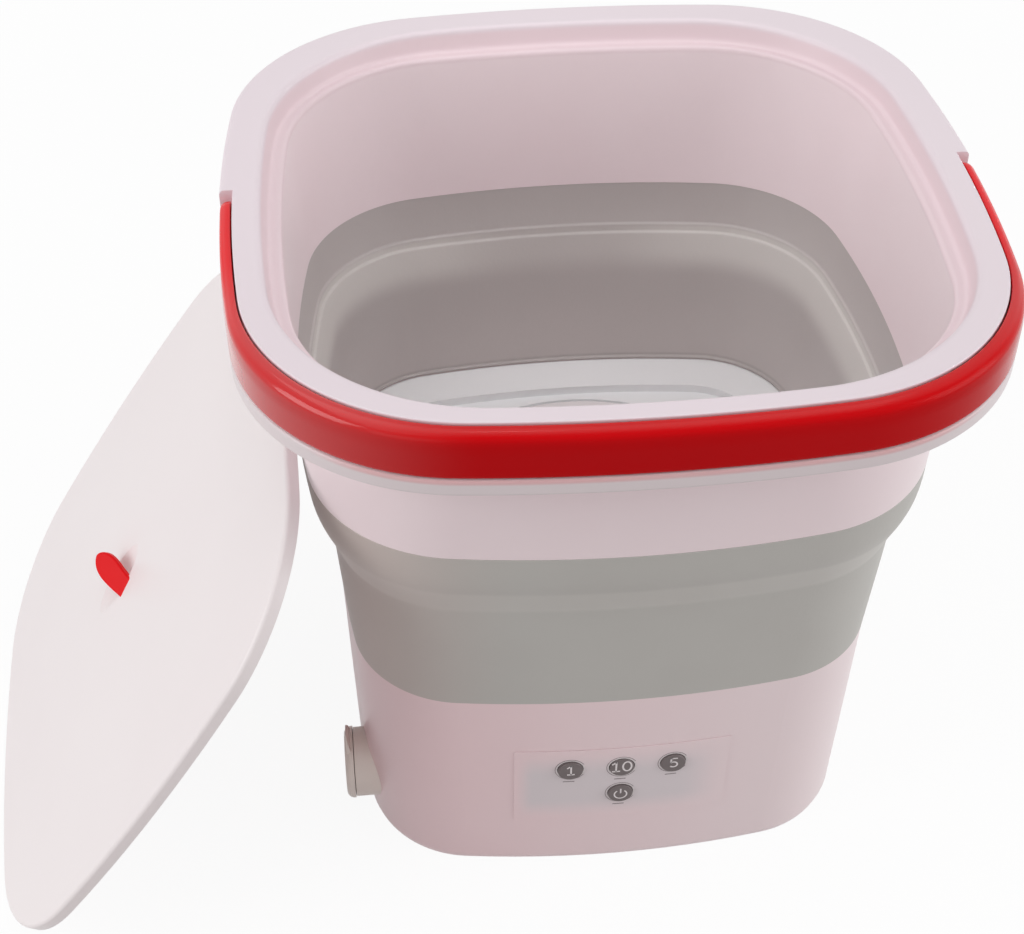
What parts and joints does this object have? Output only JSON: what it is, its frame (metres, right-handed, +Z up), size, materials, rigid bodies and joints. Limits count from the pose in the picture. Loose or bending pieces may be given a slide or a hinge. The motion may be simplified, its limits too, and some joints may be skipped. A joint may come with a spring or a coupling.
{
  "type": "foldable washing machine",
  "caption": "Rounded-square folding washing tub: driven base with push buttons, soft folding wall, rigid rim with red bail handle, pull-off drain cap and a loose lid leaning on its side.",
  "frame": {"origin": "on the floor under the centre of the tub, in the plane of the base's bottom edge", "axes": "+Z up, -Y towards the button panel at the front, -X towards the drain and the leaning lid"},
  "size_m": [0.4015, 0.2858, 0.262],
  "materials": {
    "white_plastic": "satin moulded, faint warm pink white",
    "soft_grey": "matte soft-touch",
    "red_plastic": "glossy",
    "button_plastic": "dark satin with pale numerals",
    "label_film": "thin printed film",
    "clear_plastic": "milky translucent",
    "black_rubber": "matte",
    "steel": "plated",
    "motor_can": "grey paint",
    "bush_metal": "turned",
    "board_green": "coated board",
    "black_plastic": "moulded",
    "lead_red": "insulated lead"
  },
  "bodies": {
    "shell": {"upper_shell": "white_plastic", "upper_band": "soft_grey", "pivot_pins": "steel", "fold_wall": "soft_grey"},
    "base": {"base_housing": "white_plastic", "tub_floor": "white_plastic", "bottom_cover": "white_plastic", "cover_screws": "steel", "rubber_feet": "black_rubber", "motor": "motor_can", "motor_bracket": "steel", "motor_screws": "steel", "shaft_bush": "bush_metal", "shaft_seal": "black_rubber", "control_board": "board_green", "board_screws": "steel", "tact_switches": "black_plastic", "control_label": "label_film", "dc_jack": "black_plastic", "motor_leads": "lead_red", "jack_leads": "lead_red", "drain_tube": "clear_plastic", "drain_spout": "clear_plastic"},
    "handle": {"handle": "red_plastic"},
    "pulsator": {"pulsator": "white_plastic", "pulsator_cap": "white_plastic", "pulsator_screw": "steel", "drive_shaft": "steel"},
    "lid": {"lid": "white_plastic", "lid_pull": "red_plastic"},
    "drain_cap": {"drain_cap": "clear_plastic"},
    "button_one": {"button_one": "button_plastic"},
    "button_ten": {"button_ten": "button_plastic"},
    "button_five": {"button_five": "button_plastic"},
    "button_power": {"button_power": "button_plastic"}
  },
  "joints": [
    {"name": "collapse", "type": "slide", "parent": "shell", "child": "base", "axis": [0, 0, 1], "range_m": [0, 0.105], "deforming": ["fold_wall"]},
    {"name": "handle_swing", "type": "hinge", "parent": "shell", "child": "handle", "pos_m": [0, 0, 0.25275], "axis": [-1, 0, 0], "range_deg": [0, 90]},
    {"name": "lid_lift", "type": "slide", "parent": "shell", "child": "lid", "axis": [-0.8216, -0.0647, 0.5664], "range_m": [0, 0.2]},
    {"name": "pulsator_spin", "type": "hinge", "parent": "base", "child": "pulsator", "pos_m": [0, 0, 0.097], "axis": [0, 0, 1], "continuous": true},
    {"name": "drain_cap_pull", "type": "slide", "parent": "base", "child": "drain_cap", "axis": [-1, 0, 0], "range_m": [0, 0.03]},
    {"name": "press_one", "type": "slide", "parent": "base", "child": "button_one", "axis": [0, 1, 0], "range_m": [0, 0.001], "stiffness_N_per_m": 800},
    {"name": "press_ten", "type": "slide", "parent": "base", "child": "button_ten", "axis": [0, 1, 0], "range_m": [0, 0.001], "stiffness_N_per_m": 800},
    {"name": "press_five", "type": "slide", "parent": "base", "child": "button_five", "axis": [0, 1, 0], "range_m": [0, 0.001], "stiffness_N_per_m": 800},
    {"name": "press_power", "type": "slide", "parent": "base", "child": "button_power", "axis": [0, 1, 0], "range_m": [0, 0.001], "stiffness_N_per_m": 800}
  ]
}
